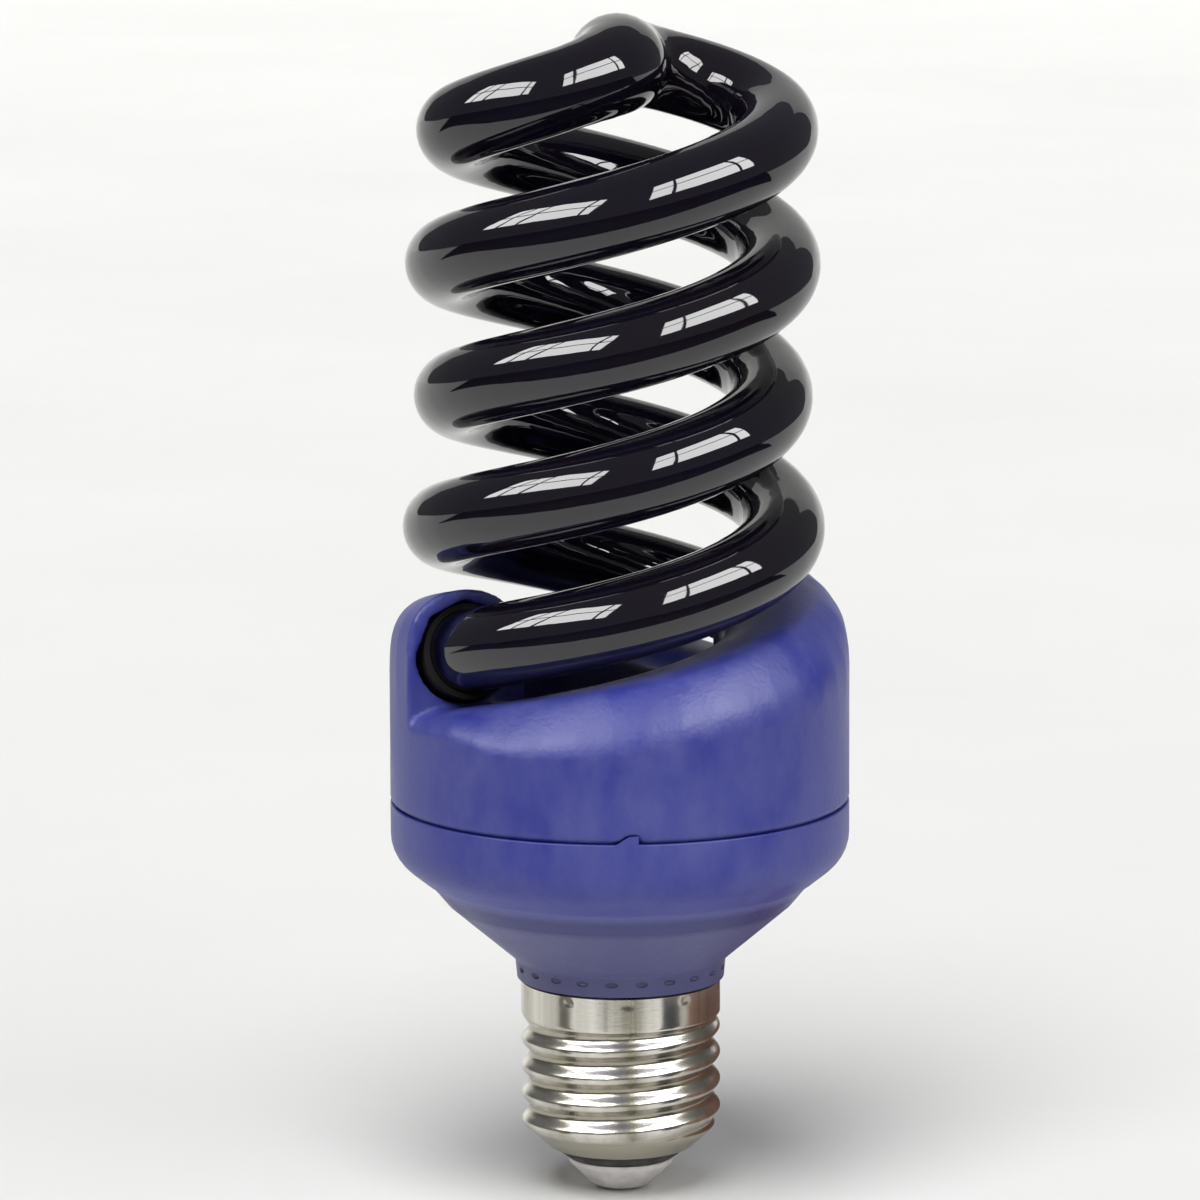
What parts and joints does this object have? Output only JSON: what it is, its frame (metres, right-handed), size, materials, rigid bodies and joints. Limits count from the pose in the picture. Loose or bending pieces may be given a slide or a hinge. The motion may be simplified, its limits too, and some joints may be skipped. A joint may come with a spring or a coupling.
{
  "type": "uv black light bulb",
  "caption": "Compact fluorescent black light bulb: a dark glass spiral in a blue plastic housing that holds the ballast, on a screw cap.",
  "frame": {"origin": "the tip of the centre contact, on the lamp's axis", "axes": "+Z along the axis from the cap to the top of the spiral; the picture looks along +Y with +X to the right"},
  "size_m": [0.0602, 0.06, 0.1551],
  "materials": {
    "dark_glass": "gloss",
    "blue_plastic": "fine matt grain",
    "nickel": "nickel plate",
    "contact_metal": "nickel plate",
    "solder": "dull",
    "cap_glass": "gloss",
    "cement": "chalky",
    "board": "satin",
    "can_sleeve": "gloss",
    "ferrite": "matt",
    "bobbin": "satin",
    "copper": "enamelled",
    "epoxy": "satin",
    "film_coat": "gloss",
    "resistor_coat": "satin",
    "fuse_coat": "matt",
    "lead_sleeve": "satin",
    "tinned_wire": "tinned"
  },
  "bodies": {
    "root": {"spiral_tube": "dark_glass", "tube_cement": "cement", "tube_holder": "blue_plastic", "base_cup": "blue_plastic", "screw_shell": "nickel", "cap_insulator": "cap_glass", "centre_contact": "contact_metal", "contact_solder": "solder", "circuit_board": "board", "reservoir_capacitor": "can_sleeve", "choke_core": "ferrite", "choke_bobbin": "bobbin", "choke_winding": "copper", "drive_toroid": "ferrite", "drive_windings": "copper", "switch_transistor_1": "epoxy", "switch_transistor_2": "epoxy", "resonant_capacitor": "film_coat", "coupling_capacitor": "film_coat", "snubber_capacitor": "film_coat", "filter_inductor_core": "ferrite", "filter_inductor_winding": "copper", "trigger_diac": "fuse_coat", "base_resistor_1": "resistor_coat", "base_resistor_2": "resistor_coat", "start_resistor": "resistor_coat", "fusible_resistor": "fuse_coat", "live_lead": "lead_sleeve", "neutral_lead": "lead_sleeve", "rectifier_diode_1": "epoxy", "wrap_post_1": "tinned_wire", "filament_lead_1": "tinned_wire", "rectifier_diode_2": "epoxy", "wrap_post_2": "tinned_wire", "filament_lead_2": "tinned_wire", "rectifier_diode_3": "epoxy", "wrap_post_3": "tinned_wire", "filament_lead_3": "tinned_wire", "rectifier_diode_4": "epoxy", "wrap_post_4": "tinned_wire", "filament_lead_4": "tinned_wire"}
  },
  "joints": []
}
